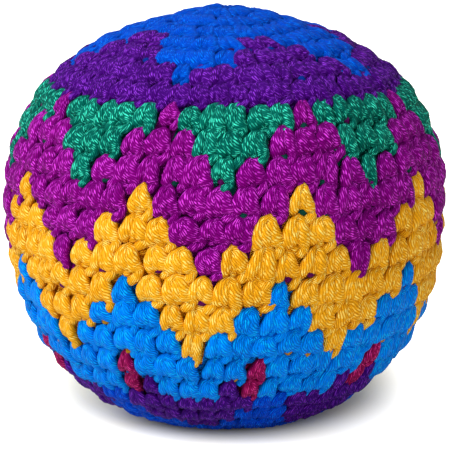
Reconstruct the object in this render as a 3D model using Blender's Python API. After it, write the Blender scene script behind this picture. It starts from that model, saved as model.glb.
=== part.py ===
"""A crocheted footbag at its real size, in metres, +Z up, resting on the plane z = 0.

The cover is worked in rounds of stitches from the top pole to the bottom pole. Every patch of
stitches in one yarn that hangs together is a sub-part of its own, a shell as thick as the fabric
with a stepped edge that follows the stitches. Inside lies the filling of plastic pellets.

A place on the ball has a turn, in degrees round +Z from the front (-Y) towards +X, and a way down,
the share of the path along the profile from the top pole (0) to the bottom pole (1).
"""

import math
from bisect import bisect_left
from fractions import Fraction
from typing import NamedTuple

import bmesh
import bpy

# Sizes of the ball, in metres.
BALL_WIDTH = 0.057
REST_FLAT_RADIUS = 0.0075
COVER_THICKNESS = 0.0022
STITCH_RELIEF = 0.0006
PATCH_GAP = 0.0003
FILL_CLEARANCE = 0.0003
PELLET_WIDTH = 0.0045
PELLET_RELIEF = 0.0009

# Pellets in a round come in multiples of this, as they pack round a pole.
PELLET_GROUP = 6

# The profile's radius from the ball's middle, in shares of half its width, at equal steps of
# angle from the top pole to the bottom pole. The stuffed ball is a little square in the shoulders.
PROFILE_SHARES = (0.964, 0.952, 0.987, 1.026, 1.023, 0.998, 0.996, 1.0, 0.997, 0.976, 0.986)
PROFILE_STEPS = 720

# The rounds of the cover, in three parts that follow each other down the ball. The last value of
# each is the way down at which it ends.
CROWN_STITCHES, CROWN_END_SHARE = (8, 16, 24, 32, 40, 48, 54), 0.271
BAND_STITCHES, BAND_END_SHARE = (54,) * 11, 0.741
BASE_STITCHES, BASE_END_SHARE = (54, 48, 40, 32, 24, 16, 8), 1.0

# Stitches lean: each round is turned against the one above it, so the columns run askew.
FIRST_TURN = 12.4
LEAN_PER_ROUND = -1.53

# The hand pulled the stitches in front a little wider than those behind. In degrees: how far all
# of them shift, and how far those at the sides shift besides.
PULL_ASIDE = -0.6
PULL_WIDER = 3.2

# The pattern of the band's rounds, one repeat each, from the stitch under the middle of a green
# triangle. G green, M magenta, Y golden yellow, A azure, C crimson, V violet. A violet stitch over
# a tip of the base star is worked in azure instead, because no violet carries it.
BAND_PATTERN = (
    "GGGMGG",
    "GGMMMG",
    "GMMMMM",
    "MMMYMM",
    "MMYYYM",
    "MYYYYY",
    "YYYAYY",
    "YYAAAY",
    "YAAAAA",
    "AAACAA",
    "AAVCVA",
)

# The two blue stars: number of tips, turn of the first tip, and the share of the way from tip to
# tip that is blue in each round of the crown and of the base.
CROWN_STAR_TIPS, CROWN_STAR_TURN = 5, -15.0
CROWN_STAR_SHARES = (1.0, 1.0, 1.0, 0.75, 0.45, 0.14, 0.0)
BASE_STAR_TIPS, BASE_STAR_TURN = 6, 19.0
BASE_STAR_SHARES = (0.17, 0.36, 0.62, 0.9, 1.0, 1.0, 1.0)

TURN = 360.0
SHARP_EDGE = 60.0


class Yarn(NamedTuple):
    """One ball of yarn: the name its patches take, and how it looks."""

    patch_name: str
    colour: str
    roughness: float = 0.75


YARNS = {
    "S": Yarn("crown_star", "#0A5CD8"),
    "P": Yarn("crown_band", "#4C1190"),
    "G": Yarn("green_triangle", "#00845F"),
    "M": Yarn("magenta_zigzag", "#960F98"),
    "Y": Yarn("golden_zigzag", "#F4A806"),
    "A": Yarn("azure_zigzag", "#0C8CEE"),
    "C": Yarn("crimson_accent", "#A81C62"),
    "V": Yarn("violet_panel", "#38067A"),
    "B": Yarn("base_star", "#0A58DC"),
}
PELLETS = Yarn("pellet_fill", "#D8D6CC", 0.4)


def linear_colour(code: str) -> tuple[float, float, float, float]:
    """The linear value of a hex colour as a screen shows it."""
    screen = [int(code[i : i + 2], 16) / 255 for i in (1, 3, 5)]
    linear = [c / 12.92 if c <= 0.04045 else ((c + 0.055) / 1.055) ** 2.4 for c in screen]
    return (*linear, 1.0)


def material_of(yarn: Yarn) -> bpy.types.Material:
    material = bpy.data.materials.new(yarn.patch_name)
    material.use_nodes = True
    shader = material.node_tree.nodes["Principled BSDF"]
    shader.inputs["Base Color"].default_value = linear_colour(yarn.colour)
    shader.inputs["Roughness"].default_value = yarn.roughness
    shader.inputs["Metallic"].default_value = 0.0
    return material


class Profile:
    """The outline that is turned round +Z: a smooth curve through PROFILE_SHARES."""

    def __init__(self, width: float) -> None:
        self.half_width = width / 2
        points = [self._at_angle(math.pi * i / PROFILE_STEPS) for i in range(PROFILE_STEPS + 1)]
        self.ways = [0.0]
        for before, after in zip(points, points[1:]):
            self.ways.append(self.ways[-1] + math.dist(before, after))

    @property
    def length(self) -> float:
        return self.ways[-1]

    def _radius_share(self, angle: float) -> float:
        """A cubic through the shares, flat at both poles."""
        place = angle / math.pi * (len(PROFILE_SHARES) - 1)
        i = min(int(place), len(PROFILE_SHARES) - 2)
        t = place - i
        last = len(PROFILE_SHARES) - 1
        before, here, there, after = (
            PROFILE_SHARES[abs(n) if n <= last else 2 * last - n] for n in range(i - 1, i + 3)
        )
        slope_here, slope_there = (there - before) / 2, (after - here) / 2
        return (
            here * (1 + 2 * t) * (1 - t) ** 2
            + slope_here * t * (1 - t) ** 2
            + there * t**2 * (3 - 2 * t)
            + slope_there * t**2 * (t - 1)
        )

    def _at_angle(self, angle: float) -> tuple[float, float]:
        radius = self.half_width * self._radius_share(angle)
        return radius * math.sin(angle), radius * math.cos(angle)

    def point(self, way: float, depth: float) -> tuple[float, float]:
        """Distance from the axis and height, at a share of the way down and a depth under the skin."""
        if way in (0, 1):
            height = self._at_angle(math.pi * way)[1]
            return 0.0, height - math.copysign(depth, height)
        wanted = way * self.length
        i = min(max(bisect_left(self.ways, wanted), 1), PROFILE_STEPS)
        step = (wanted - self.ways[i - 1]) / (self.ways[i] - self.ways[i - 1])
        angle = math.pi * (i - 1 + step) / PROFILE_STEPS
        half_step = math.pi / PROFILE_STEPS / 2
        (x0, z0), (x1, z1) = self._at_angle(angle - half_step), self._at_angle(angle + half_step)
        span = math.dist((x0, z0), (x1, z1))
        out_x, out_z = (z0 - z1) / span, (x1 - x0) / span
        x, z = self._at_angle(angle)
        return max(x - depth * out_x, 0.0), z - depth * out_z

    def flat_height(self, flat_radius: float) -> float:
        """The height at which a flat cut under the ball has this radius."""
        low, high = math.pi / 2, math.pi
        while high - low > math.pi / PROFILE_STEPS / PROFILE_STEPS:
            middle = (low + high) / 2
            if self._at_angle(middle)[0] > flat_radius:
                low = middle
            else:
                high = middle
        return self._at_angle(low)[1]


class Corner(NamedTuple):
    """A corner of a patch: its circle, its turn as a fraction, and the way that it is drawn in."""

    circle: int
    fraction: Fraction
    east: int
    south: int


class Rounds:
    """Rounds of cells between circles on the ball. Cell (k, j) is stitch j of round k."""

    def __init__(self, profile: Profile, counts: list[int], ways: list[float]) -> None:
        self.profile = profile
        self.counts = counts
        self.ways = ways
        self.lean = 0.0
        self.aside = 0.0
        self.wider = 0.0

    def cells(self) -> list[tuple[int, int]]:
        return [(k, j) for k, count in enumerate(self.counts) for j in range(count)]

    def turn(self, circle: float, fraction: Fraction) -> float:
        """Degrees round +Z at a circle, or part of the way between two."""
        return FIRST_TURN + self.lean * circle + TURN * float(fraction)

    def pulled(self, turn: float) -> float:
        """The turn at which a stitch lies after the pull, in radians."""
        turn = math.radians(turn)
        return turn + math.radians(self.aside + self.wider * math.sin(turn))

    def middle(self, cell: tuple[int, int]) -> tuple[float, float]:
        """The way down and the turn of a cell's middle."""
        k, j = cell
        turn = self.turn(k + 0.5, Fraction(2 * j + 1, 2 * self.counts[k]))
        return (self.ways[k] + self.ways[k + 1]) / 2, turn

    def fractions_on(self, circle: int, start: Fraction, end: Fraction) -> list[Fraction]:
        """Where the cells above and below this circle meet it, from start to end."""
        if circle in (0, len(self.counts)):
            return [Fraction(0)]
        found = {start, end}
        for count in (self.counts[circle - 1], self.counts[circle]):
            found |= {Fraction(n, count) for n in range(math.ceil(start * count), int(end * count) + 1)}
        return sorted(found)

    def outline(self, cell: tuple[int, int]) -> list[tuple[int, Fraction]]:
        """The points round a cell, counter-clockwise as seen from outside."""
        k, j = cell
        start, end = Fraction(j, self.counts[k]), Fraction(j + 1, self.counts[k])
        lower = [(k + 1, f) for f in self.fractions_on(k + 1, start, end)]
        upper = [(k, f) for f in reversed(self.fractions_on(k, start, end))]
        return lower + upper

    def around(self, circle: int, fraction: Fraction) -> dict[tuple[int, int], tuple[int, int]]:
        """The cells at the four quarters (east, south) round a point on a circle."""
        found = {}
        for south in (-1, 1):
            k = circle if south > 0 else circle - 1
            place = fraction * self.counts[k]
            for east in (-1, 1):
                j = math.ceil(place) - 1 if east < 0 else math.floor(place)
                found[east, south] = (k, j % self.counts[k])
        return found

    def neighbours(self, cell: tuple[int, int]) -> set[tuple[int, int]]:
        """The cells that share an edge with this one."""
        k, j = cell
        found = {(k, (j - 1) % self.counts[k]), (k, (j + 1) % self.counts[k])}
        outline = self.outline(cell)
        for (circle, f), (other, g) in zip(outline, outline[1:]):
            if circle == other:
                near = circle if circle > k else circle - 1
                found.add((near, math.floor((f + g) / 2 % 1 * self.counts[near])))
        return found

    def corner(self, cell: tuple[int, int], circle: int, fraction: Fraction, patch: set) -> Corner:
        """The patch's corner at this point of a cell, drawn away from the cells of other patches."""
        if circle in (0, len(self.counts)):
            return Corner(circle, fraction, 0, 0)
        around = self.around(circle, fraction)
        group = {quarter for quarter, other in around.items() if other == cell}
        # The group grows from quarter to next quarter, so two cells that meet only here stay apart.
        for _ in around:
            group |= {
                (e, s)
                for (e, s), other in around.items()
                if other in patch and ((-e, s) in group or (e, -s) in group)
            }
        east, south = (sum(quarter[axis] for quarter in group) for axis in (0, 1))
        return Corner(circle, fraction % 1, (east > 0) - (east < 0), (south > 0) - (south < 0))

    def place(self, corner: Corner, depth: float, half_gap: float) -> tuple[float, float, float]:
        way = self.ways[corner.circle] + corner.south * half_gap / self.profile.length
        radius, height = self.profile.point(way, depth)
        turn = self.pulled(self.turn(corner.circle, corner.fraction))
        if radius > half_gap:
            turn += corner.east * half_gap / radius
        return radius * math.sin(turn), -radius * math.cos(turn), height

    def tip(self, cell: tuple[int, int], depth: float) -> tuple[float, float, float]:
        way, turn = self.middle(cell)
        radius, height = self.profile.point(way, depth)
        turn = self.pulled(turn)
        return radius * math.sin(turn), -radius * math.cos(turn), height


def new_object(name: str, mesh: bmesh.types.BMesh, material: bpy.types.Material) -> bpy.types.Object:
    data = bpy.data.meshes.new(name)
    mesh.to_mesh(data)
    mesh.free()
    data.shade_smooth()
    data.set_sharp_from_angle(angle=math.radians(SHARP_EDGE))
    data.materials.append(material)
    item = bpy.data.objects.new(name, data)
    bpy.context.scene.collection.objects.link(item)
    return item


def shell_of(rounds: Rounds, patch: set, floor: float) -> bmesh.types.BMesh:
    """A patch of the cover: a raised stitch in each cell, and walls round its stepped edge."""
    mesh = bmesh.new()
    outer, inner = {}, {}

    def add(made: dict, key: Corner, depth: float, lowest: float) -> bmesh.types.BMVert:
        if key not in made:
            x, y, z = rounds.place(key, depth, PATCH_GAP / 2)
            made[key] = mesh.verts.new((x, y, max(z, lowest) - floor))
        return made[key]

    edges = set()
    for cell in sorted(patch):
        loop = [rounds.corner(cell, i, f, patch) for i, f in rounds.outline(cell)]
        x, y, z = rounds.tip(cell, 0)
        tip = mesh.verts.new((x, y, max(z, floor) - floor))
        skin = [add(outer, key, STITCH_RELIEF, floor) for key in loop]
        lining = [add(inner, key, COVER_THICKNESS, floor + COVER_THICKNESS) for key in loop]
        for here, there in zip(skin, skin[1:] + skin[:1]):
            mesh.faces.new((tip, here, there))
        mesh.faces.new(reversed(lining))
        edges |= set(zip(loop, loop[1:] + loop[:1]))
    for here, there in sorted(edges):
        if (there, here) not in edges:
            mesh.faces.new((outer[there], outer[here], inner[here], inner[there]))
    return mesh


def lump_of(rounds: Rounds, depth: float, relief: float, floor: float, lowest: float) -> bmesh.types.BMesh:
    """The filling as one closed body, with a rounded pellet in each cell."""
    mesh = bmesh.new()
    made = {}
    for cell in rounds.cells():
        x, y, z = rounds.tip(cell, depth)
        tip = mesh.verts.new((x, y, max(z, lowest) - floor))
        loop = []
        for circle, fraction in rounds.outline(cell):
            key = Corner(circle, fraction % 1, 0, 0)
            if key not in made:
                x, y, z = rounds.place(key, depth + relief, 0.0)
                made[key] = mesh.verts.new((x, y, max(z, lowest) - floor))
            loop.append(made[key])
        for here, there in zip(loop, loop[1:] + loop[:1]):
            mesh.faces.new((tip, here, there))
    return mesh


def star_holds(turn: float, tips: int, first_turn: float, share: float) -> bool:
    """Whether a stitch at this turn lies in a star's arm, where the star fills this share."""
    from_tip = (turn - first_turn + TURN / tips / 2) % (TURN / tips) - TURN / tips / 2
    return abs(from_tip) < share * TURN / tips / 2


def cover_rounds(profile: Profile) -> Rounds:
    counts, ways = [], [0.0]
    for stitches, end in (
        (CROWN_STITCHES, CROWN_END_SHARE),
        (BAND_STITCHES, BAND_END_SHARE),
        (BASE_STITCHES, BASE_END_SHARE),
    ):
        start = ways[-1]
        counts += stitches
        ways += [start + (end - start) * (i + 1) / len(stitches) for i in range(len(stitches))]
    ways[-1] = BASE_END_SHARE
    rounds = Rounds(profile, counts, ways)
    rounds.lean, rounds.aside, rounds.wider = LEAN_PER_ROUND, PULL_ASIDE, PULL_WIDER
    return rounds


def yarn_at(rounds: Rounds, cell: tuple[int, int]) -> str:
    """The key in YARNS of the yarn that a stitch is worked in."""
    k, j = cell
    turn = rounds.middle(cell)[1]
    in_band = k - len(CROWN_STITCHES)
    in_base = in_band - len(BAND_STITCHES)
    if in_band < 0:
        in_star = star_holds(turn, CROWN_STAR_TIPS, CROWN_STAR_TURN, CROWN_STAR_SHARES[k])
        return "S" if in_star else "P"
    if in_base < 0:
        row = BAND_PATTERN[in_band]
        key = row[j % len(row)]
        return "A" if key == "V" and yarn_at(rounds, (k + 1, j)) == "B" else key
    in_star = star_holds(turn, BASE_STAR_TIPS, BASE_STAR_TURN, BASE_STAR_SHARES[in_base])
    return "B" if in_star else "V"


def patches_of(rounds: Rounds) -> dict[str, list[set]]:
    """The cells in groups of one yarn that hang together, from the front round to the right."""
    left = {cell: yarn_at(rounds, cell) for cell in rounds.cells()}
    found = {key: [] for key in YARNS}
    while left:
        cell, key = left.popitem()
        patch, edge = {cell}, {cell}
        while edge:
            near = set().union(*(rounds.neighbours(c) for c in edge))
            edge = {c for c in near if left.get(c) == key}
            for c in edge:
                del left[c]
            patch |= edge
        found[key].append(patch)
    for patches in found.values():
        patches.sort(key=lambda patch: patch_turn(rounds, patch))
    return found


def patch_turn(rounds: Rounds, patch: set) -> float:
    turns = [math.radians(rounds.middle(cell)[1]) for cell in patch]
    east, front = sum(map(math.sin, turns)), sum(map(math.cos, turns))
    return math.degrees(math.atan2(east, front)) % TURN


def make_cover(profile: Profile, floor: float) -> list[bpy.types.Object]:
    rounds = cover_rounds(profile)
    made = []
    for key, patches in patches_of(rounds).items():
        material = material_of(YARNS[key])
        for number, patch in enumerate(patches, 1):
            name = YARNS[key].patch_name + (f"_{number}" if len(patches) > 1 else "")
            made.append(new_object(name, shell_of(rounds, patch, floor), material))
    return made


def make_fill(profile: Profile, floor: float) -> bpy.types.Object:
    """The pellets, pressed together into the cover."""
    depth = COVER_THICKNESS + FILL_CLEARANCE
    number = round(profile.length / PELLET_WIDTH)
    ways = [i / number for i in range(number + 1)]
    counts = []
    for k in range(number):
        radius = profile.point((k + 0.5) / number, depth)[0]
        groups = math.tau * radius / PELLET_WIDTH / PELLET_GROUP
        counts.append(PELLET_GROUP * max(1, round(groups)))
    rounds = Rounds(profile, counts, ways)
    mesh = lump_of(rounds, depth, PELLET_RELIEF, floor, floor + depth)
    return new_object(PELLETS.patch_name, mesh, material_of(PELLETS))


def main() -> None:
    for item in list(bpy.data.objects):
        bpy.data.objects.remove(item)
    profile = Profile(BALL_WIDTH)
    floor = profile.flat_height(REST_FLAT_RADIUS)
    footbag = bpy.data.objects.new("footbag", None)
    bpy.context.scene.collection.objects.link(footbag)
    for item in [*make_cover(profile, floor), make_fill(profile, floor)]:
        item.parent = footbag


if __name__ == "__main__":
    main()
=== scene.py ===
"""A crocheted footbag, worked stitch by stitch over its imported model.

The cover is made of short runs of yarn. Every stitch is an arch of two fat legs that meet in a
pointed top, the right one turning under in a hook, with the core between the legs, the loop that
the next round hooks into, and the knotted back that closes the fabric.

A place on the ball has a turn, in degrees round +Z from the front (-Y) towards +X, and a way down,
the share of the path along the outline from the top pole (0) to the bottom pole (1).
"""

import itertools
import logging
import math
from dataclasses import dataclass, field
from enum import Enum

import bmesh
import bpy
import numpy as np
from mathutils import Euler, Matrix, Vector


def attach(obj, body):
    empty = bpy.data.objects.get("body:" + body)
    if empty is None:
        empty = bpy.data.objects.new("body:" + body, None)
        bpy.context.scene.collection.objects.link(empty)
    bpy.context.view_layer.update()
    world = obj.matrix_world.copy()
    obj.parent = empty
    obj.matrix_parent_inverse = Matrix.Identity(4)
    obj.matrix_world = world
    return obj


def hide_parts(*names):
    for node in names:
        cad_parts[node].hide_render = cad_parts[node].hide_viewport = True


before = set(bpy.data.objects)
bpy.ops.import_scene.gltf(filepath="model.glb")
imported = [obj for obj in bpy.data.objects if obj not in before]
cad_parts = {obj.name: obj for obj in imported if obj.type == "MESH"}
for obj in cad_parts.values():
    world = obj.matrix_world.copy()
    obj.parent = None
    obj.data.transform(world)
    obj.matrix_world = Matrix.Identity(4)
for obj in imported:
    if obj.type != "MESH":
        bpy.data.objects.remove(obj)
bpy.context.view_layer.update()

log = logging.getLogger("footbag")

MM = 0.001
TURN = 360.0
SEED = 27
SWEPT_MAP = "UVMap"
YARN_MAP = "yarn"
BAKE_MAP = "OFBake"
TONE = "tone"
PAINTED_SHADE = "painted_shade"
CARRIED = "carried"

Cell = tuple[int, int]
Node = bpy.types.Node
Tree = bpy.types.NodeTree
Socket = bpy.types.NodeSocket


class Yarn(Enum):
    """The yarns of the cover, each by its letter in the pattern."""

    CROWN_STAR = "S"
    CROWN_BAND = "P"
    GREEN = "G"
    MAGENTA = "M"
    GOLDEN = "Y"
    AZURE = "A"
    CRIMSON = "C"
    VIOLET = "V"
    BASE_STAR = "B"


def linear(code: str) -> tuple[float, float, float, float]:
    """Turns a hex colour as a screen shows it into the linear value that a shader takes.

    Args:
        code: The colour, written as #RRGGBB.

    Returns:
        Red, green, blue and an alpha of one.
    """
    screen = [int(code[i : i + 2], 16) / 255 for i in (1, 3, 5)]
    shares = [c / 12.92 if c <= 0.04045 else ((c + 0.055) / 1.055) ** 2.4 for c in screen]
    return (*shares, 1.0)


def add_node(tree: Tree, kind: str, sockets: dict, **settings: object) -> Node:
    """Adds a node to a tree.

    Args:
        tree: The tree that gets the node.
        kind: The node's type, without the leading ShaderNode.
        sockets: For each input, by name or number, its value, or the output or node that feeds it.
        settings: The node's own settings.

    Returns:
        The new node.
    """
    node = tree.nodes.new("ShaderNode" + kind)
    for name, value in settings.items():
        setattr(node, name, value)
    for key, value in sockets.items():
        value = value.outputs[0] if isinstance(value, Node) else value
        if isinstance(value, Socket):
            tree.links.new(value, node.inputs[key])
        else:
            node.inputs[key].default_value = value
    return node


def blank_material(name: str) -> bpy.types.Material:
    """Makes a material whose tree holds nothing yet."""
    material = bpy.data.materials.new(name)
    material.use_nodes = True
    material.node_tree.nodes.clear()
    return material


def store(form: bmesh.types.BMesh, name: str) -> bpy.types.Mesh:
    """Writes a finished form to a new mesh and frees it."""
    mesh = bpy.data.meshes.new(name)
    form.to_mesh(mesh)
    form.free()
    return mesh


def add_object(name: str, data: bpy.types.ID) -> bpy.types.Object:
    """Puts a mesh, curve, lamp or camera into the scene, at the origin."""
    item = bpy.data.objects.new(name, data)
    bpy.context.scene.collection.objects.link(item)
    return item


@dataclass(frozen=True)
class YarnFinish:
    """Mercerised cotton crochet yarn, spun from several plies, its dye taken up in the hank.

    Each ply is twisted the other way in itself, so its shine is broken into dashes 1 mm long. A leg
    of a stitch shows as slanting rows of bright dashes, painted highlights, over a ground with
    painted shade between the plies and far under the fabric's skin.

    Attributes:
        name: What the material is called.
        shade_and_dark_fibre: Painted shade between plies and under the skin, and darker fibres.
        body: The colour of the plies.
        highlight_and_shine: The painted highlights of the dashes, and the tint of the shine.
        plies: How many plies show round a strand.
        twist_mm: The length in which a ply goes round once.
        dash_mm: From one dash of a ply to the next.
        relief_mm: How far the plies stand out.
        roughness: The roughness of the shine.
        gloss: The strength of the shine.
    """

    name: str
    shade_and_dark_fibre: str
    body: str
    highlight_and_shine: str
    plies: int = 15
    twist_mm: float = 7.6
    dash_mm: float = 1.15
    relief_mm: float = 0.05
    roughness: float = 0.6
    gloss: float = 0.12

    def material(self) -> bpy.types.Material:
        """Builds the material.

        Returns:
            The material, which reads the yarn map, millimetres along and turns round a strand.
        """
        material = blank_material(self.name)
        tree = material.node_tree
        where = add_node(tree, "UVMap", {}, uv_map=YARN_MAP)
        split = add_node(tree, "SeparateXYZ", {0: where})
        along, around = split.outputs[0], split.outputs[1]
        place = add_node(tree, "TexCoord", {}).outputs["Object"]

        # The plies wander, over 1.5 mm.
        wander = add_node(tree, "TexNoise", {"Vector": place, "Scale": 650.0, "Detail": 2.0})
        drift = add_node(tree, "Math", {0: wander, 1: 1.6, 2: -0.8}, operation="MULTIPLY_ADD")
        turns = add_node(
            tree, "Math", {0: along, 1: -1 / self.twist_mm, 2: around}, operation="MULTIPLY_ADD"
        )
        phase = add_node(tree, "Math", {0: turns, 1: self.plies, 2: drift}, operation="MULTIPLY_ADD")
        share = add_node(tree, "Math", {0: phase}, operation="FRACT")
        across = add_node(tree, "Math", {0: share, 1: 2.0, 2: -1.0}, operation="MULTIPLY_ADD")
        edge = add_node(tree, "Math", {0: across, 1: across}, operation="MULTIPLY")
        ply = add_node(tree, "Math", {0: 1.0, 1: edge}, operation="SUBTRACT")
        # Painted highlights: each ply's shine is painted as dashes, which also raise the bump.
        dash = self.dashes(tree, along, phase, wander)
        narrow = add_node(tree, "Math", {0: ply, 1: 2.2}, operation="POWER")
        glint = add_node(tree, "Math", {0: dash, 1: narrow}, operation="MULTIPLY")

        # Filaments lie along each ply, drawn 0.12 mm apart, coarser than real ones, so that they show.
        lengthwise = add_node(tree, "Math", {0: along, 1: 1.1}, operation="MULTIPLY")
        crosswise = add_node(tree, "Math", {0: phase, 1: 4.0}, operation="MULTIPLY")
        drawn = add_node(tree, "CombineXYZ", {0: crosswise, 1: lengthwise})
        fibre = add_node(tree, "TexNoise", {"Vector": drawn, "Scale": 1.0, "Detail": 3.0})

        raised = add_node(tree, "Math", {0: glint, 1: 0.6, 2: ply}, operation="MULTIPLY_ADD")
        height = add_node(tree, "Math", {0: fibre, 1: 0.25, 2: raised}, operation="MULTIPLY_ADD")
        relief = {"Strength": 1.0, "Distance": self.relief_mm * MM, "Height": height}
        bump = add_node(tree, "Bump", relief)
        shader = add_node(
            tree,
            "BsdfPrincipled",
            {
                "Base Color": self.dye_and_painted_light(tree, ply, fibre, glint),
                "Roughness": self.roughness,
                "IOR": 1.53,
                "Specular IOR Level": self.gloss,
                "Specular Tint": linear(self.highlight_and_shine),
                "Normal": bump,
            },
        )
        add_node(tree, "OutputMaterial", {0: shader})
        return material

    def dashes(self, tree: Tree, along: Socket, phase: Node, wander: Node) -> Node:
        """Breaks the shine of each ply into dashes: painted highlights, which raise the bump as well.

        Args:
            tree: The material's tree.
            along: Millimetres along the strand.
            phase: The number of the ply, and the share across it.
            wander: How far the plies wander.

        Returns:
            How bright the painted highlight is at a place, from 0 between the dashes to 1.
        """
        # The painted highlight dashes of a ply start anywhere, and some are dull, over 0.9 mm.
        number = add_node(tree, "Math", {0: phase}, operation="FLOOR")
        start = add_node(tree, "TexWhiteNoise", {"W": number}, noise_dimensions="1D").outputs["Value"]
        beat = add_node(
            tree, "Math", {0: along, 1: 1 / self.dash_mm, 2: start}, operation="MULTIPLY_ADD"
        )
        beaten = add_node(tree, "Math", {0: beat, 1: wander}, operation="ADD")
        wave = add_node(tree, "Math", {0: beaten, 1: math.tau}, operation="MULTIPLY")
        swell = add_node(tree, "Math", {0: wave}, operation="COSINE")
        bright = add_node(
            tree, "MapRange", {0: swell, 1: -0.6, 2: 0.8}, interpolation_type="SMOOTHSTEP"
        )
        place = add_node(tree, "TexCoord", {}).outputs["Object"]
        chance = add_node(tree, "TexNoise", {"Vector": place, "Scale": 1100.0, "Detail": 1.0})
        keen = add_node(tree, "MapRange", {0: chance, 1: 0.36, 2: 0.64, 3: 0.25, 4: 1.0})
        return add_node(tree, "Math", {0: bright, 1: keen}, operation="MULTIPLY")

    def dye_and_painted_light(self, tree: Tree, ply: Node, fibre: Node, glint: Node) -> Socket:
        """Colours the yarn with painted highlights and shade, and other yarns carried along with it.

        Args:
            tree: The material's tree.
            ply: The height of the plies, from 0 at their edges to 1.
            fibre: The filaments.
            glint: The painted highlights of the dashes.

        Returns:
            The colour, with its painted light and shade.
        """
        # Painted highlights on the dashes, painted shade on a ply's sides and under the skin.
        tone = add_node(tree, "Attribute", {}, attribute_name=TONE).outputs["Fac"]
        painted_shade = add_node(tree, "Attribute", {}, attribute_name=PAINTED_SHADE).outputs["Fac"]
        level = add_node(tree, "Math", {0: tone, 1: 0.10}, operation="MULTIPLY")
        for light, weight in ((ply, 0.18), (fibre, 0.24), (glint, 0.70), (painted_shade, -0.30)):
            level = add_node(tree, "Math", {0: light, 1: weight, 2: level}, operation="MULTIPLY_ADD")
        ramp = add_node(tree, "ValToRGB", {0: level})
        stops = ramp.color_ramp.elements
        stops[0].color, stops[1].color = linear(self.shade_and_dark_fibre), linear(self.highlight_and_shine)
        stops.new(0.36).color = linear(self.body)

        # Another yarn, carried inside the round, peeps out here and there, painted half in shade.
        carried = add_node(tree, "Attribute", {}, attribute_name=CARRIED)
        mixed = {0: carried.outputs["Alpha"], 6: ramp, 7: carried.outputs["Color"]}
        return add_node(tree, "Mix", mixed, data_type="RGBA").outputs[2]


@dataclass(frozen=True)
class PelletFinish:
    """Polyethylene, moulded: translucent natural resin, dull from tumbling.

    Attributes:
        name: What the material is called.
        pale: The colour of the clear resin.
        dull: The colour of its clouds.
    """

    name: str = "polyethylene_pellets_natural"
    pale: str = "#E2E0D6"
    dull: str = "#C9C6B8"

    def material(self) -> bpy.types.Material:
        """Builds the material, which clouds the resin over 3 mm."""
        material = blank_material(self.name)
        tree = material.node_tree
        place = add_node(tree, "TexCoord", {}).outputs["Object"]
        cloud = add_node(tree, "TexNoise", {"Vector": place, "Scale": 330.0, "Detail": 2.0})
        ramp = add_node(tree, "ValToRGB", {0: cloud})
        for stop, position, code in zip(ramp.color_ramp.elements, (0.35, 0.65), (self.dull, self.pale)):
            stop.position = position
            stop.color = linear(code)
        bump = add_node(tree, "Bump", {"Strength": 0.4, "Distance": 0.05 * MM, "Height": cloud})
        shader = add_node(
            tree,
            "BsdfPrincipled",
            {
                "Base Color": ramp,
                "Roughness": 0.42,
                "IOR": 1.51,
                "Subsurface Weight": 0.15,
                "Normal": bump,
            },
        )
        add_node(tree, "OutputMaterial", {0: shader})
        return material


@dataclass(frozen=True)
class PaperFinish:
    """Seamless paper, calendered: matt, with a faint tooth of 0.25 mm.

    The camera sees it glow white all round an oval. Inside it the paper shows only the lamps'
    light, so the oval holds the ball's real shadow and, past that, a painted shadow.

    Attributes:
        name: What the material is called.
        colour: The paper's colour, which shows in the oval.
        squeeze: The oval's width, from side to side, as a share of its depth.
        shift: How far the oval's middle lies behind the ball's, squeezed as well, in metres.
        edge: How far from the oval's middle the painted shadow starts to fade, and ends, in metres.
    """

    name: str = "white_seamless_paper"
    colour: str = "#F2F1E4"
    squeeze: float = 0.56
    shift: float = 0.0157
    edge: tuple[float, float] = (0.0183, 0.0272)

    def material(self) -> bpy.types.Material:
        """Builds the material."""
        material = blank_material(self.name)
        tree = material.node_tree
        seen = add_node(tree, "LightPath", {}).outputs["Is Camera Ray"]
        place = add_node(tree, "TexCoord", {}).outputs["Object"]
        # Painted shadow: the paper glows for the camera only outside the oval round the ball.
        oval = {0: place, 1: (0.0, -self.shift, 0.0), 3: (1.0, self.squeeze, 1.0)}
        moved = add_node(tree, "Mapping", oval)
        far = add_node(tree, "VectorMath", {0: moved}, operation="LENGTH").outputs["Value"]
        painted_shadow_fade = {0: far, 1: self.edge[0], 2: self.edge[1]}
        white = add_node(tree, "MapRange", painted_shadow_fade, interpolation_type="SMOOTHSTEP")
        glow = add_node(tree, "Math", {0: seen, 1: white}, operation="MULTIPLY")
        tooth = add_node(tree, "TexNoise", {"Vector": place, "Scale": 4000.0, "Detail": 2.0})
        bump = add_node(tree, "Bump", {"Strength": 0.1, "Distance": 0.02 * MM, "Height": tooth})
        paper = add_node(
            tree,
            "BsdfPrincipled",
            {
                "Base Color": linear(self.colour),
                "Roughness": 0.9,
                "Specular IOR Level": 0.2,
                "Emission Color": (1, 1, 1, 1),
                "Emission Strength": glow,
                "Normal": bump,
            },
        )
        add_node(tree, "OutputMaterial", {0: paper})
        return material


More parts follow.
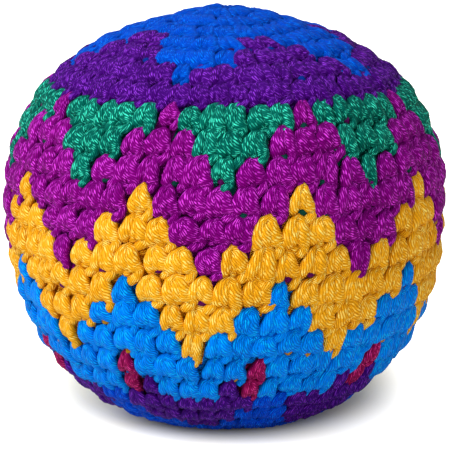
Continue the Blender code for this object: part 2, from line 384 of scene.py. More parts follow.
# Each lists painted shade, the yarn's own colour, and painted highlight, which tints the shine too.
FINISHES = {
    Yarn.CROWN_STAR: YarnFinish(
        "cotton_yarn_blue", "#002C74", "#004ACE", "#0680FF", plies=18, dash_mm=1.0
    ),
    Yarn.CROWN_BAND: YarnFinish(
        "cotton_yarn_violet", "#1A0434", "#420476", "#9C3EE8", plies=18, dash_mm=1.0
    ),
    Yarn.GREEN: YarnFinish(
        "cotton_yarn_green", "#003032", "#006054", "#46F8D4", plies=17, dash_mm=0.95
    ),
    Yarn.MAGENTA: YarnFinish(
        "cotton_yarn_magenta", "#480442", "#7A0076", "#EA46EE", plies=17, dash_mm=0.95
    ),
    Yarn.GOLDEN: YarnFinish("cotton_yarn_golden", "#A04C00", "#F4AC18", "#FFE67A"),
    Yarn.AZURE: YarnFinish("cotton_yarn_azure", "#003E80", "#0080F8", "#08B6FF"),
    Yarn.CRIMSON: YarnFinish("cotton_yarn_crimson", "#50062E", "#8E0A50", "#EE429C"),
    Yarn.VIOLET: YarnFinish("cotton_yarn_dark_violet", "#180432", "#3C0878", "#8434CA"),
    Yarn.BASE_STAR: YarnFinish("cotton_yarn_royal_blue", "#00247C", "#0044D2", "#0478FF"),
}

SLOTS = {
    Yarn.CROWN_STAR: ("crown_star", "blue_yarn"),
    Yarn.CROWN_BAND: ("crown_band", "violet_yarn"),
    Yarn.GREEN: ("green_triangle", "green_yarn"),
    Yarn.MAGENTA: ("magenta_zigzag", "magenta_yarn"),
    Yarn.GOLDEN: ("golden_zigzag", "golden_yarn"),
    Yarn.AZURE: ("azure_zigzag", "azure_yarn"),
    Yarn.CRIMSON: ("crimson_accent", "crimson_yarn"),
    Yarn.VIOLET: ("violet_panel", "dark_violet_yarn"),
    Yarn.BASE_STAR: ("base_star", "royal_blue_yarn"),
}


@dataclass
class Outline:
    """The outline that is turned round +Z, and the flat that the ball rests on.

    Attributes:
        half_width: Half the ball's width, in metres.
        flat_radius: The radius of the flat under the ball, in metres.
        settled: How far above the floor the stitches are still pressed together, in metres.
        shares: The reach from the ball's middle, in shares of half_width, at equal angles.
        steps: How many steps the outline is measured in.
    """

    half_width: float = 0.0285
    flat_radius: float = 0.0075
    settled: float = 0.0016
    shares: tuple[float, ...] = (
        0.964, 0.952, 0.987, 1.026, 1.023, 0.998, 0.996, 1.0, 0.997, 0.976, 0.986,
    )
    steps: int = 720

    def __post_init__(self) -> None:
        """Measures the outline: a cubic through the shares, flat at both poles."""
        self.angle = np.linspace(0, math.pi, self.steps + 1)
        knots = np.array([self.shares[1], *self.shares, self.shares[-2]])
        spans = len(self.shares) - 1
        place = np.minimum(self.angle / math.pi * spans, spans - 1e-9)
        i = place.astype(int) + 1
        t = place - (i - 1)
        before, here, there, after = (knots[i + n] for n in (-1, 0, 1, 2))
        slope, slope_there = (there - before) / 2, (after - here) / 2
        share = (
            here * (1 + 2 * t) * (1 - t) ** 2
            + slope * t * (1 - t) ** 2
            + there * t**2 * (3 - 2 * t)
            + slope_there * t**2 * (t - 1)
        )
        self.reach = self.half_width * share
        self.radius = self.reach * np.sin(self.angle)
        self.height = self.reach * np.cos(self.angle)
        step = np.hypot(np.diff(self.radius), np.diff(self.height))
        self.length = float(step.sum())
        self.way = np.concatenate(([0.0], np.cumsum(step))) / self.length
        run, drop = np.gradient(self.radius), np.gradient(self.height)
        span = np.hypot(run, drop)
        self.out_across, self.out_up = -drop / span, run / span
        lower = slice(self.steps // 2, None)
        self.floor = float(np.interp(-self.flat_radius, -self.radius[lower], self.height[lower]))

    def at(self, way: np.ndarray, turn: np.ndarray, depth: np.ndarray) -> np.ndarray:
        """Finds places on the ball.

        Args:
            way: The ways down.
            turn: The turns, in degrees.
            depth: The depths under the skin, in metres.

        Returns:
            One row of x, y and z for each place.
        """
        way = np.clip(way, 0.0, 1.0)
        across = np.interp(way, self.way, self.radius) - depth * np.interp(way, self.way, self.out_across)
        up = np.interp(way, self.way, self.height) - depth * np.interp(way, self.way, self.out_up)
        angle = np.radians(turn)
        across = np.maximum(across, 0.0)
        high = self.pressed(up - self.floor)
        return np.stack((across * np.sin(angle), -across * np.cos(angle), high), -1)

    def pressed(self, up: np.ndarray) -> np.ndarray:
        """Presses what would lie under the floor up into the ball, softly."""
        lowest = float(self.height.min() - self.floor)
        span = self.settled - lowest
        bend = -lowest / span**2
        low = bend * (up - lowest) ** 2 + (1 - 2 * bend * span) * (up - lowest)
        return np.where(up < self.settled, np.where(up < lowest, 0.0, low), up)


@dataclass(frozen=True)
class Star:
    """A star of one yarn round a pole.

    Attributes:
        tips: The number of its tips.
        first: The turn of one tip.
        shares: The share of the way round that it fills in each round.
    """

    tips: int
    first: float
    shares: tuple[float, ...]

    def holds(self, turn: float, number: int) -> bool:
        """Tells whether a stitch lies in an arm of the star.

        Args:
            turn: The stitch's turn.
            number: Its round, of those that the star lies in.

        Returns:
            True if the stitch is the star's.
        """
        pitch = TURN / self.tips
        from_tip = (turn - self.first + pitch / 2) % pitch - pitch / 2
        return abs(from_tip) < self.shares[number] * pitch / 2


@dataclass
class Pattern:
    """The rounds of the cover, and the yarn of every stitch in them.

    A cell (k, j) is stitch j of round k. The rounds come in three parts: the crown grows by up to
    eight stitches a round, the band keeps its number, and the base shrinks again.

    Attributes:
        crown: The number of stitches in each round of the crown.
        band: The same for the band.
        base: The same for the base.
        ends: The ways down at which the three parts end.
        first_turn: The turn of the first stitch's left side, at the top.
        lean: How far the columns of stitches lean, in degrees a round.
        repeat: The yarns of each of the band's rounds, over one repeat.
        crown_star: The star round the top pole.
        base_star: The star round the bottom pole.
        pull: How far the whole is turned aside, and how far the front is pulled wider, in degrees.
        tip_top: The share of its width that the end of a tip that points up keeps at its top.
        tip_foot: The share that the end of a tip that points down keeps at its foot.
        neck: The share that a lone stitch keeps at its foot where its yarn goes on below.
    """

    crown: tuple[int, ...] = (8, 16, 24, 32, 40, 48, 54)
    band: tuple[int, ...] = (54,) * 11
    base: tuple[int, ...] = (54, 48, 40, 32, 24, 16, 8)
    ends: tuple[float, float, float] = (0.271, 0.741, 1.0)
    first_turn: float = 12.4
    lean: float = -1.53
    repeat: tuple[str, ...] = (
        "GGGMGG",
        "GGMMMG",
        "GMMMMM",
        "MMMYMM",
        "MMYYYM",
        "MYYYYY",
        "YYYAYY",
        "YYAAAY",
        "YAAAAA",
        "AAACAA",
        "AAVCVA",
    )
    crown_star: Star = Star(5, -15.0, (1.0, 1.0, 1.0, 0.75, 0.45, 0.14, 0.0))
    base_star: Star = Star(6, 19.0, (0.17, 0.36, 0.62, 0.9, 1.0, 1.0, 1.0))
    pull: tuple[float, float] = (-0.6, 3.2)
    tip_top: float = 0.56
    tip_foot: float = 0.76
    neck: float = 0.87

    def __post_init__(self) -> None:
        """Lists the rounds' stitches and the ways down between them."""
        self.counts = [*self.crown, *self.band, *self.base]
        self.ways = [0.0]
        for part, end in zip((self.crown, self.band, self.base), self.ends):
            start = self.ways[-1]
            self.ways += [start + (end - start) * (i + 1) / len(part) for i in range(len(part))]

    def turn(self, k: float, share: float) -> float:
        """The turn at a place down the rounds, a share of the way round, if all stitches were alike."""
        return self.first_turn + self.lean * k + TURN * share

    def pulled(self, turn: np.ndarray) -> np.ndarray:
        """The turn after the stitches in front are pulled a little wider than those behind."""
        aside, wider = self.pull
        return turn + aside + wider * np.sin(np.radians(turn))

    def middle(self, cell: Cell) -> float:
        """The turn of a cell's middle."""
        return self.turn(cell[0] + 0.5, (cell[1] + 0.5) / self.counts[cell[0]])

    def yarn(self, cell: Cell) -> Yarn:
        """Finds the yarn of a stitch.

        Args:
            cell: The stitch.

        Returns:
            Its yarn. A violet stitch over a tip of the base star is worked in azure instead.
        """
        k, j = cell
        in_band = k - len(self.crown)
        in_base = in_band - len(self.band)
        if in_band < 0:
            return Yarn.CROWN_STAR if self.crown_star.holds(self.middle(cell), k) else Yarn.CROWN_BAND
        if in_base >= 0:
            return Yarn.BASE_STAR if self.base_star.holds(self.middle(cell), in_base) else Yarn.VIOLET
        row = self.repeat[in_band]
        found = Yarn(row[j % len(row)])
        over_tip = found is Yarn.VIOLET and self.yarn((k + 1, j)) is Yarn.BASE_STAR
        return Yarn.AZURE if over_tip else found

    def near(self, cell: Cell) -> set[Cell]:
        """Finds the cells that share an edge with this one.

        Args:
            cell: The cell.

        Returns:
            Its neighbours beside, above and below it.
        """
        k, j = cell
        here = self.counts[k]
        found = {(k, (j - 1) % here), (k, (j + 1) % here)}
        for other in (k - 1, k + 1):
            if 0 <= other < len(self.counts):
                there = self.counts[other]
                first, last = j * there // here, -(-(j + 1) * there // here)
                found |= {(other, n % there) for n in range(first, last)}
        return found

    def drawn_in(self, cell: Cell) -> tuple[float, float]:
        """Finds how far a stitch is drawn in where it stands alone in its round.

        Args:
            cell: The stitch.

        Returns:
            The shares of its width that it keeps at its top and at its foot.
        """
        own = self.yarn(cell)
        alike = {other[0] - cell[0] for other in self.near(cell) if self.yarn(other) is own}
        if 0 in alike:
            return 1.0, 1.0
        return 1.0 if -1 in alike else self.tip_top, self.neck if 1 in alike else self.tip_foot

    def carried(self, cell: Cell) -> list[Yarn]:
        """Lists the other yarns that may run along inside a stitch, from its round or the last."""
        k, own = cell[0], self.yarn(cell)
        rounds = {k, max(k - 1, len(self.crown))} if k > len(self.crown) else {k}
        inside = {self.yarn((r, j)) for r in rounds for j in range(self.counts[r])}
        return sorted(inside - {own}, key=lambda yarn: yarn.value)

    def patches(self, yarn: Yarn) -> list[list[Cell]]:
        """Groups the stitches of a yarn that hang together.

        Args:
            yarn: The yarn.

        Returns:
            The groups, from the front round to the right, each from the top down.
        """
        cells = {(k, j) for k, count in enumerate(self.counts) for j in range(count)}
        left = {cell for cell in cells if self.yarn(cell) is yarn}
        groups = []
        while left:
            group = edge = {min(left)}
            while edge:
                edge = (set().union(*map(self.near, edge)) & left) - group
                group = group | edge
            left -= group
            groups.append(sorted(group))
        return sorted(groups, key=self.patch_turn)

    def patch_turn(self, patch: list[Cell]) -> float:
        """The turn of a patch's middle, from 0 to 360."""
        turns = np.radians([self.middle(cell) for cell in patch])
        return math.degrees(math.atan2(np.sin(turns).sum(), np.cos(turns).sum())) % TURN


@dataclass(frozen=True)
class Strand:
    """A short run of yarn in a stitch.

    Attributes:
        middle: Places on its middle line: millimetres across, down and out, and the share of its
            full girth there.
        half_girth: Half its thickness, in millimetres.
        sides: How many faces go round it; even, and eight or more.
        tile: The part of a stitch's tile in the bake map that it takes, from and to.
        steps: How many rings of faces lie between two of those places.
        merge_mm: How close two points are one.
    """

    middle: tuple[tuple[float, float, float, float], ...]
    half_girth: float
    sides: int
    tile: tuple[float, float]
    steps: int = 2
    merge_mm: float = 1e-5

    def shape(self, rng: np.random.Generator, unrest: float) -> bmesh.types.BMesh:
        """Sweeps a round section along the middle line.

        Args:
            rng: Where the small differences come from.
            unrest: How far a place on the middle line may stray, in millimetres, or half as far out.

        Returns:
            The closed strand in millimetres, x across, y out and z up, with its maps.
        """
        curve = bpy.data.curves.new("strand", "CURVE")
        curve.dimensions = "3D"
        curve.bevel_depth = self.half_girth
        curve.bevel_resolution = (self.sides - 4) // 2
        curve.resolution_u = self.steps
        curve.use_fill_caps = True
        spline = curve.splines.new("BEZIER")
        spline.bezier_points.add(len(self.middle) - 1)
        for point, (across, down, out, girth) in zip(spline.bezier_points, self.middle):
            stray = rng.normal(0, unrest, 3)
            point.co = (across + stray[0], out + stray[1] / 2, -down + stray[2])
            point.handle_left_type = point.handle_right_type = "AUTO"
            point.radius = girth
        item = add_object("strand", curve)
        graph = bpy.context.evaluated_depsgraph_get()
        swept = bpy.data.meshes.new_from_object(item.evaluated_get(graph), depsgraph=graph)
        length = spline.calc_length()
        mesh = bmesh.new()
        mesh.from_mesh(swept)
        bpy.data.objects.remove(item)
        bpy.data.curves.remove(curve)
        bpy.data.meshes.remove(swept)
        bmesh.ops.remove_doubles(mesh, verts=mesh.verts, dist=self.merge_mm)
        bmesh.ops.recalc_face_normals(mesh, faces=mesh.faces)
        self.lay_maps(mesh, length)
        return mesh

    def lay_maps(self, mesh: bmesh.types.BMesh, length: float) -> None:
        """Writes the yarn map, in millimetres and turns, and the strand's place in the bake tile.

        Args:
            mesh: The strand.
            length: Its length in millimetres.
        """
        yarn, bake = (mesh.loops.layers.uv.new(name) for name in (YARN_MAP, BAKE_MAP))
        swept = mesh.loops.layers.uv[SWEPT_MAP]
        start, end = self.tile
        for face in mesh.faces:
            for loop in face.loops:
                along, around = loop[swept].uv
                loop[yarn].uv = (along * length, around)
                loop[bake].uv = (start + (end - start) * along, around)


# From the lower left up over the pointed top, down the right leg and under in a hook.
ARCH = Strand(
    middle=(
        (-0.55, 4.45, -2.10, 0.70),
        (-0.94, 3.45, -1.06, 0.98),
        (-0.82, 2.35, -0.84, 1.02),
        (-0.06, 0.74, -0.98, 0.50),
        (0.46, 2.10, -0.84, 0.98),
        (1.04, 3.25, -0.94, 1.00),
        (1.60, 4.10, -1.08, 0.78),
        (1.05, 4.84, -0.92, 0.76),
        (0.40, 5.05, -1.80, 0.55),
    ),
    half_girth=0.92,
    sides=10,
    tile=(0.0, 0.50),
)

# Down between the legs.
CORE = Strand(
    middle=(
        (-0.14, 1.30, -1.22, 0.80),
        (-0.10, 2.20, -0.64, 1.00),
        (0.06, 3.10, -0.74, 1.00),
        (0.22, 3.90, -1.50, 0.80),
    ),
    half_girth=0.74,
    sides=8,
    tile=(0.51, 0.64),
)

# Across under the legs, where a carried yarn shows.
LOOP = Strand(
    middle=(
        (-0.40, 4.00, -1.80, 0.85),
        (0.12, 4.12, -0.92, 1.00),
        (0.60, 4.45, -1.75, 0.85),
    ),
    half_girth=0.50,
    sides=8,
    tile=(0.79, 0.91),
)


@dataclass
class Stitch:
    """One stitch of the cover as the pattern for all: strands and a knotted back, in several makes.

    Attributes:
        width_mm: Its width where it was measured, at the widest round.
        height_mm: The height of a round there.
        strands: Its strands, with the loop last.
        back_mm: From where to where its knotted back reaches under the skin.
        back_drop_mm: How far down the knotted back hangs, under the tops of the next round.
        back_lap: How far it lies over the next one, as a share of a round's height.
        back_tilt: How far it is tilted for that, in degrees.
        back_turn_mm: The height on it that the yarn map takes for one turn round a strand.
        back_tile: The part of a stitch's tile in the bake map that it takes, from and to.
        back_gap: The part of a face's row there that stays free on each side.
        unrest_mm: How far its strands stray from make to make.
        makes: How many makes there are.
        models: The makes.
        loop_points: The first point of a model that is the loop's, and the first after the loop.
    """

    width_mm: float = 3.3
    height_mm: float = 3.65
    strands: tuple[Strand, ...] = (ARCH, CORE, LOOP)
    back_mm: tuple[float, float] = (1.5, 2.2)
    back_drop_mm: float = 1.6
    back_lap: float = 0.12
    back_tilt: float = 4.0
    back_turn_mm: float = 4.0
    back_tile: tuple[float, float] = (0.92, 0.99)
    back_gap: float = 0.1
    unrest_mm: float = 0.13
    makes: int = 6
    models: list[bpy.types.Mesh] = field(default_factory=list)
    loop_points: tuple[int, int] = (0, 0)

    def build(self) -> None:
        """Models every make of the stitch, with the same faces in the same order."""
        rng = np.random.default_rng(SEED)
        for number in range(self.makes):
            strands = [strand.shape(rng, self.unrest_mm) for strand in self.strands]
            before = sum(len(strand.verts) for strand in strands[:-1])
            self.loop_points = (before, before + len(strands[-1].verts))
            whole = bmesh.new()
            for part in (*strands, self.back()):
                mesh = store(part, "part")
                whole.from_mesh(mesh)
                bpy.data.meshes.remove(mesh)
            self.models.append(store(whole, f"stitch_{number}"))

    def back(self) -> bmesh.types.BMesh:
        """Models the knotted back of the stitch.

        Returns:
            A closed block behind the legs, tilted so that it lies over the next round's.
        """
        # The back lies far under the skin, so the yarn's painted shade colours it through the gaps.
        mesh = bmesh.new()
        bmesh.ops.create_cube(mesh, size=1.0)
        near, far = self.back_mm
        high = self.height_mm * (1 + self.back_lap)
        bmesh.ops.scale(mesh, vec=(self.width_mm, far - near, high), verts=mesh.verts)
        tilt = Matrix.Rotation(math.radians(self.back_tilt), 4, "X")
        bmesh.ops.transform(mesh, matrix=tilt, verts=mesh.verts)
        middle = self.back_drop_mm + high / 2
        bmesh.ops.translate(mesh, vec=(0, -(near + far) / 2, -middle), verts=mesh.verts)
        swept, yarn, bake = (mesh.loops.layers.uv.new(n) for n in (SWEPT_MAP, YARN_MAP, BAKE_MAP))
        (start, end), gap = self.back_tile, self.back_gap
        for row, face in enumerate(mesh.faces):
            for loop, (x, y) in zip(face.loops, ((0, 0), (1, 0), (1, 1), (0, 1))):
                up = (row + gap + (1 - 2 * gap) * y) / len(mesh.faces)
                loop[swept].uv = (x, y)
                loop[yarn].uv = (loop.vert.co.x, loop.vert.co.z / self.back_turn_mm)
                loop[bake].uv = (start + (end - start) * x, up)
        return mesh


@dataclass(frozen=True)
class Wave:
    """An unevenness that runs round the ball in waves.

    Attributes:
        size_mm: How far it goes either way.
        count: How many waves go round the ball.
        shift: How far they are shifted from round to round, in radians.
    """

    size_mm: float
    count: int
    shift: float

    def at(self, angle: np.ndarray, down: np.ndarray) -> np.ndarray:
        """How far it goes, in metres, at these turns in radians and places down the rounds."""
        return self.size_mm * MM * np.sin(self.count * angle + self.shift * down)


@dataclass
class CoverPatch:
    """A patch of the cover in one yarn, every stitch bent to its own place on the ball.

    Attributes:
        node: The sub-part that it stands for.
        cells: Its stitches.
        outline: The ball's outline.
        pattern: The pattern that the stitches lie in.
        stitch: The stitch that is copied.
        fill: How firmly the pellets fill it out, from 0 to 1; not used.
        carried_share: The share of the stitches in which another yarn shows.
        carried_shade: The share of its own colour that yarn keeps, painted half in shade.
        reliefs: How far the stitches stand out in the crown, the band and the base.
        spreads: How wide they are there, over their pitch.
        roll: How far a stitch rolls, in degrees.
        uneven: How far its width and its height are off, as a share.
        strays_mm: How far it strays across, up and out.
        sunk_mm: How far it is drawn in under the skin.
        passage: Where a stitch that is drawn in passes from the width of its top to that of its
            foot: from what share of its height, and over how much.
        painted_shade_mm: How far under the skin the painted shade begins, and where it is darkest.
        drift: How the rounds wave up and down.
        swell: How they swell out and in.
        sharp: The angle from which an edge is shown as one, in degrees.
        hank_mm: The length of yarn that the stitches are taken from, here and there.
        tile_gap: The part of a stitch's tile in the bake map that stays free on each side.
        tile_rows: How many times as many rows as columns the bake map has.
    """

    node: str
    cells: list[Cell]
    outline: Outline
    pattern: Pattern
    stitch: Stitch
    fill: float = 0.75
    carried_share: float = 0.18
    carried_shade: float = 0.5
    reliefs: tuple[float, float, float] = (0.60, 0.88, 0.78)
    spreads: tuple[float, float, float] = (1.2, 1.03, 1.1)
    roll: float = 8.0
    uneven: float = 0.07
    strays_mm: tuple[float, float, float] = (0.14, 0.16, 0.09)
    sunk_mm: float = 0.03
    passage: tuple[float, float] = (0.2, 0.7)
    painted_shade_mm: tuple[float, float] = (0.35, 1.5)
    drift: tuple[Wave, ...] = (Wave(0.22, 3, 0.5), Wave(0.14, 8, 0.9))
    swell: Wave = Wave(0.12, 5, 0.8)
    sharp: float = 70.0
    hank_mm: float = 40.0
    tile_gap: float = 0.02
    tile_rows: float = 3.0

    def build(self, material: bpy.types.Material, rng: np.random.Generator) -> bpy.types.Object:
        """Works the patch.

        Args:
            material: The yarn's material.
            rng: Where the small differences between the stitches come from.

        Returns:
            The finished piece.
        """
        form = bmesh.new()
        for make in rng.integers(len(self.stitch.models), size=len(self.cells)):
            form.from_mesh(self.stitch.models[make])
        name = self.node + "_stitches"
        data = store(form, name)
        self.bend(data, rng)
        self.carry(data, rng)
        self.lay_maps(data, rng)
        data.uv_layers.remove(data.uv_layers[SWEPT_MAP])
        data.uv_layers.active = data.uv_layers[BAKE_MAP]
        data.shade_smooth()
        data.set_sharp_from_angle(angle=math.radians(self.sharp))
        data.materials.append(material)
        return add_object(name, data)

    def bend(self, data: bpy.types.Mesh, rng: np.random.Generator) -> None:
        """Bends the row of copied stitches on to the ball, each a little unlike the next.

        Args:
            data: The copies, all at the same place, which get their own.
            rng: Where the differences come from.
        """
        pattern, stitch = self.pattern, self.stitch
        number = len(self.cells)
        flat = np.empty(len(data.vertices) * 3)
        data.vertices.foreach_get("co", flat)
        across, out, up = np.moveaxis(flat.reshape(number, -1, 3), 2, 0)
        # Painted shade: the yarn is darkened by its depth under the skin, where crevices lie in shade.
        painted_shade_share = np.interp(-out, self.painted_shade_mm, (0.0, 1.0))
        strands = np.arange(across.shape[1]) < stitch.loop_points[1]
        k, j = np.array(self.cells).T[:, :, None]
        part = (k >= len(pattern.crown)) * 1 + (k >= len(pattern.crown + pattern.band))
        relief, spread = np.array(self.reliefs)[part], np.array(self.spreads)[part]
        places = np.stack((across, relief * out, up))
        across, out, up = np.where(strands, self.loosened(places, spread, rng), places)

        # The backs of the first round reach up to the pole and close it.
        down = -up / stitch.height_mm
        lifted = down - stitch.back_drop_mm / stitch.height_mm
        down = np.where(~strands & (k == 0) & (down < 1), lifted, down)
        ways = np.array(pattern.ways)
        way = ways[k] + (ways[k + 1] - ways[k]) * down
        turn = pattern.turn(k + down, (j + 0.5 + across / stitch.width_mm) / np.array(pattern.counts)[k])

        # A hand's tension is never even: the rounds wave and swell a little, less towards the poles.
        angle, calm = np.radians(turn), np.sin(np.pi * np.clip(way, 0, 1))
        drift = calm * sum(wave.at(angle, k + down) for wave in self.drift)
        swell = calm * self.swell.at(angle, k + down)
        bent = self.outline.at(way + drift / self.outline.length, pattern.pulled(turn), -out * MM - swell)
        data.vertices.foreach_set("co", bent.reshape(-1))
        # Each stitch gets a random tone, and every point the share of painted shade at its depth.
        tones = np.repeat(rng.random(number), across.shape[1])
        for name, shares in ((TONE, tones), (PAINTED_SHADE, painted_shade_share.reshape(-1))):
            data.attributes.new(name, "FLOAT", "POINT").data.foreach_set("value", shares)
        data.update()

    def loosened(self, places: np.ndarray, spread: np.ndarray, rng: np.random.Generator) -> np.ndarray:
        """Rolls, stretches and moves each stitch a little, round the middle of its legs.

        Args:
            places: The stitches' points: millimetres across, out and up, for each stitch and point.
            spread: How wide each stitch is over its pitch.
            rng: Where the differences come from.

        Returns:
            The points as the hand leaves them.
        """
        across, out, up = places
        chance = np.clip(rng.normal(0, 1, (6, len(self.cells), 1)), -2, 2)
        heart = -0.5 * self.stitch.height_mm
        roll, rise = np.radians(self.roll * chance[0]), up - heart
        wide, tall = spread * (1 + self.uneven * chance[1]), 1 + self.uneven * chance[2]

        # A stitch that stands alone in its round is drawn in, most at the end of a tip.
        top, foot = np.array([self.pattern.drawn_in(cell) for cell in self.cells]).T[:, :, None]
        start, length = self.passage
        passed = np.clip((-up / self.stitch.height_mm - start) / length, 0, 1)
        wide = wide * (top + (foot - top) * passed)
        stray_across, stray_up, stray_out = self.strays_mm
        return np.stack((
            wide * (across * np.cos(roll) + rise * np.sin(roll)) + stray_across * chance[3],
            out + stray_out * chance[5] - self.sunk_mm,
            tall * (rise * np.cos(roll) - across * np.sin(roll)) + heart + stray_up * chance[4],
        ))

    def carry(self, data: bpy.types.Mesh, rng: np.random.Generator) -> None:
        """Colours the loops of a few stitches like a carried yarn inside the round, painted in shade.

        Args:
            data: The patch.
            rng: Where the choice comes from.
        """
        start, end = self.stitch.loop_points
        colours = np.zeros((len(self.cells), len(data.vertices) // len(self.cells), 4))
        for colour, cell, chance in zip(colours, self.cells, rng.random(len(self.cells))):
            others = self.pattern.carried(cell)
            if others and chance < self.carried_share:
                other = others[int(chance / self.carried_share * len(others))]
                colour[start:end] = linear(FINISHES[other].body)
                # Painted shade: the carried yarn shows at half its colour, as if in shade.
                colour[start:end, :3] *= self.carried_shade
        carried = data.attributes.new(CARRIED, "FLOAT_COLOR", "POINT")
        carried.data.foreach_set("color", colours.reshape(-1))

    def lay_maps(self, data: bpy.types.Mesh, rng: np.random.Generator) -> None:
        """Starts each stitch's twist elsewhere, and gives it its own tile of the bake map.

        Args:
            data: The patch.
            rng: Where the twists start.
        """
        number = len(self.cells)
        columns = max(1, round(math.sqrt(number / self.tile_rows)))
        rows = -(-number // columns)
        tile = np.stack((np.arange(number) % columns, np.arange(number) // columns), -1)[:, None, :]
        for name in (YARN_MAP, BAKE_MAP):
            layer = data.uv_layers[name].uv
            places = np.empty(len(layer) * 2, dtype=np.float32)
            layer.foreach_get("vector", places)
            places = places.reshape(number, -1, 2)
            if name == YARN_MAP:
                places[..., 1] += rng.random((number, 1))
                places[..., 0] += self.hank_mm * rng.random((number, 1))
            else:
                kept = self.tile_gap + (1 - 2 * self.tile_gap) * places
                places = (tile + kept) / (columns, rows)
            layer.foreach_set("vector", places.astype(np.float32).reshape(-1))


@dataclass
class PelletFill:
    """The loose pellets that the cover holds, packed as they settle.

    Attributes:
        outline: The ball's outline.
        width_mm: The width of one pellet.
        height_mm: Its height; it is cut from a drawn strand, so it is a little flat.
        pitch_mm: The distance between pellets.
        lining_mm: How far under the skin the inside of the cover lies.
    """

    outline: Outline
    width_mm: float = 4.3
    height_mm: float = 3.4
    pitch_mm: float = 4.45
    lining_mm: float = 2.3

    def places(self) -> list[Vector]:
        """Stacks close layers of pellets and keeps those that the cover holds."""
        row = self.pitch_mm * math.sqrt(3) / 2
        layer = self.pitch_mm * math.sqrt(2 / 3)
        reach = math.ceil(self.outline.half_width / MM / row) + 2
        middle = -self.outline.floor / MM
        kept = []
        for c, b, a in itertools.product(range(-reach, reach + 1), repeat=3):
            across = (a + (b % 2 + c % 2) / 2) * self.pitch_mm
            spot = Vector((across, (b + c % 2 / 3) * row, middle + c * layer))
            if self.holds(spot):
                kept.append(spot)
        return kept

    def holds(self, spot: Vector) -> bool:
        """Tells whether a pellet at this place, in millimetres, lies inside the cover."""
        room = self.lining_mm + self.width_mm / 2
        level = spot.z + self.outline.floor / MM
        angle = math.atan2(math.hypot(spot.x, spot.y), level)
        reach = np.interp(angle, self.outline.angle, self.outline.reach) / MM
        return math.hypot(spot.x, spot.y, level) < reach - room and spot.z > room

    def build(self, material: bpy.types.Material, rng: np.random.Generator) -> bpy.types.Object:
        """Models one pellet and fills the cover with it.

        Args:
            material: The pellets' material.
            rng: Where the pellets' turns come from.

        Returns:
            The finished piece.
        """
        one = bmesh.new()
        radius = self.width_mm * MM / 2
        bmesh.ops.create_uvsphere(one, u_segments=8, v_segments=4, radius=radius, calc_uvs=True)
        bmesh.ops.scale(one, vec=(1, 1, self.height_mm / self.width_mm), verts=one.verts)
        model = store(one, "pellet")
        form = bmesh.new()
        for spot in self.places():
            first = len(form.verts)
            form.from_mesh(model)
            form.verts.ensure_lookup_table()
            turned = Euler(rng.uniform(0, math.tau, 3)).to_matrix().to_4x4()
            matrix = Matrix.Translation(spot * MM) @ turned
            bmesh.ops.transform(form, matrix=matrix, verts=form.verts[first:])
        bpy.data.meshes.remove(model)
        data = store(form, "pellets")
        data.shade_smooth()
        data.materials.append(material)
        return add_object("pellets", data)


@dataclass(frozen=True)
class Softbox:
    """A square softbox.

    Attributes:
        name: What it is called.
        place: Where it hangs, in metres.
        side: Its width and height, in metres.
        watts: Its power.
    """

    name: str
    place: tuple[float, float, float]
    side: float
    watts: float

    def hang(self, target: Vector) -> None:
        """Hangs it, turned to face a place."""
        lamp = bpy.data.lights.new(self.name, "AREA")
        lamp.shape = "SQUARE"
        lamp.size = self.side
        lamp.energy = self.watts
        item = add_object(self.name, lamp)
        item.location = self.place
        item.rotation_euler = (target - Vector(self.place)).to_track_quat("-Z", "Y").to_euler()


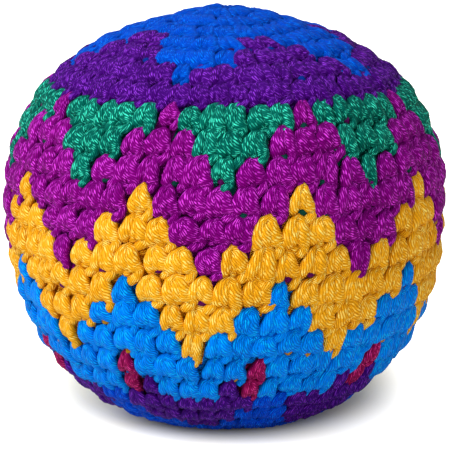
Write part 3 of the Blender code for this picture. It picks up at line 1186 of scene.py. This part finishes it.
@dataclass
class Studio:
    """The pale floor, the soft light over it and the camera.

    Attributes:
        outline: The ball's outline.
        picture: The picture's width and height, in pixels.
        elevation: How far the camera looks down, in degrees.
        distance: From the ball's middle to the camera, in metres.
        scale: How many pixels of the picture half the ball's width takes.
        centre: Where the ball's middle shows in the picture, in pixels from its top left corner.
        sensor_mm: The width of the camera's sensor.
        sight: How near and how far the camera sees, in metres.
        floor_radius: The radius of the floor, in metres.
        room: How strongly the pale room lights the ball; the camera sees it white.
        lights: The main light from the upper left, and dim ones overhead and in front.
    """

    outline: Outline
    picture: tuple[int, int] = (452, 453)
    elevation: float = 10.0
    distance: float = 0.57
    scale: float = 220.7
    centre: tuple[float, float] = (225.05, 216.45)
    sensor_mm: float = 36.0
    sight: tuple[float, float] = (0.05, 20.0)
    floor_radius: float = 4.0
    room: float = 0.3
    lights: tuple[Softbox, ...] = (
        Softbox("overhead", (-0.05, -0.05, 0.80), side=0.6, watts=2.2),
        Softbox("key", (-0.74, -0.48, 0.62), side=0.6, watts=9.5),
        Softbox("fill", (0.30, -0.90, 0.22), side=0.5, watts=2.3),
    )

    def build(self) -> None:
        """Builds the whole studio."""
        middle = Vector((0, 0, -self.outline.floor))
        self.build_camera(middle)
        self.build_floor()
        self.build_room()
        for light in self.lights:
            light.hang(middle)
        bpy.context.scene.view_settings.view_transform = "Standard"

    def build_camera(self, middle: Vector) -> None:
        """Sets the camera up so that the ball shows as large and where it should.

        Args:
            middle: The ball's middle.
        """
        camera = bpy.data.cameras.new("camera")
        camera.sensor_width = self.sensor_mm
        focal = self.scale * self.distance / self.outline.half_width
        camera.lens = focal * self.sensor_mm / max(self.picture)
        camera.clip_start, camera.clip_end = self.sight
        tilt = math.radians(self.elevation)
        back = Vector((0, -math.cos(tilt), math.sin(tilt)))
        up = Vector((0, math.sin(tilt), math.cos(tilt)))
        pixel = self.outline.half_width / self.scale
        aside = Vector((1, 0, 0)) * (self.picture[0] / 2 - self.centre[0]) * pixel
        below = up * (self.centre[1] - self.picture[1] / 2) * pixel
        item = add_object("camera", camera)
        item.location = middle + aside + below + back * self.distance
        item.rotation_euler = (math.pi / 2 - tilt, 0, 0)
        bpy.context.scene.camera = item

    def build_floor(self) -> None:
        """Lays a white floor that keeps the ball's soft shadow, with a painted shadow round it."""
        form = bmesh.new()
        bmesh.ops.create_circle(form, cap_ends=True, segments=96, radius=self.floor_radius)
        data = store(form, "floor")
        data.materials.append(PaperFinish().material())
        add_object("floor", data)

    def build_room(self) -> None:
        """Puts a dim pale room all round."""
        world = bpy.data.worlds.new("room")
        world.use_nodes = True
        tree = world.node_tree
        tree.nodes.clear()
        path = add_node(tree, "LightPath", {}).outputs
        rays = {0: path["Is Camera Ray"], 1: path["Is Transmission Ray"]}
        seen = add_node(tree, "Math", rays, operation="MAXIMUM")
        strength = {0: seen, 1: 1 - self.room, 2: self.room}
        level = add_node(tree, "Math", strength, operation="MULTIPLY_ADD")
        glow = add_node(tree, "Background", {0: (1, 1, 1, 1), 1: level})
        add_node(tree, "OutputWorld", {0: glow})
        bpy.context.scene.world = world


def main() -> None:
    """Builds the studio, the cover and the filling, and hangs each piece in place of its part."""
    outline = Outline()
    pattern = Pattern()
    Studio(outline).build()
    stitch = Stitch()
    stitch.build()
    rng = np.random.default_rng(SEED)
    for yarn, finish in FINISHES.items():
        material = finish.material()
        name, slot = SLOTS[yarn]
        patches = pattern.patches(yarn)
        for number, cells in enumerate(patches, 1):
            node = f"{name}_{number}" if len(patches) > 1 else name
            patch = CoverPatch(node, cells, outline, pattern, stitch)
            piece = patch.build(material, rng)
            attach(piece, "root")
            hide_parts(node)
            log.info("%s: %d stitches, %d faces", piece.name, len(cells), len(piece.data.polygons))
    pellets = PelletFill(outline).build(PelletFinish().material(), rng)
    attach(pellets, "root")
    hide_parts("pellet_fill")
    log.info("%s: %d faces", pellets.name, len(pellets.data.polygons))
    for model in stitch.models:
        bpy.data.meshes.remove(model)


if __name__ == "__main__":
    logging.basicConfig(level=logging.INFO, format="%(name)s: %(message)s")
    main()
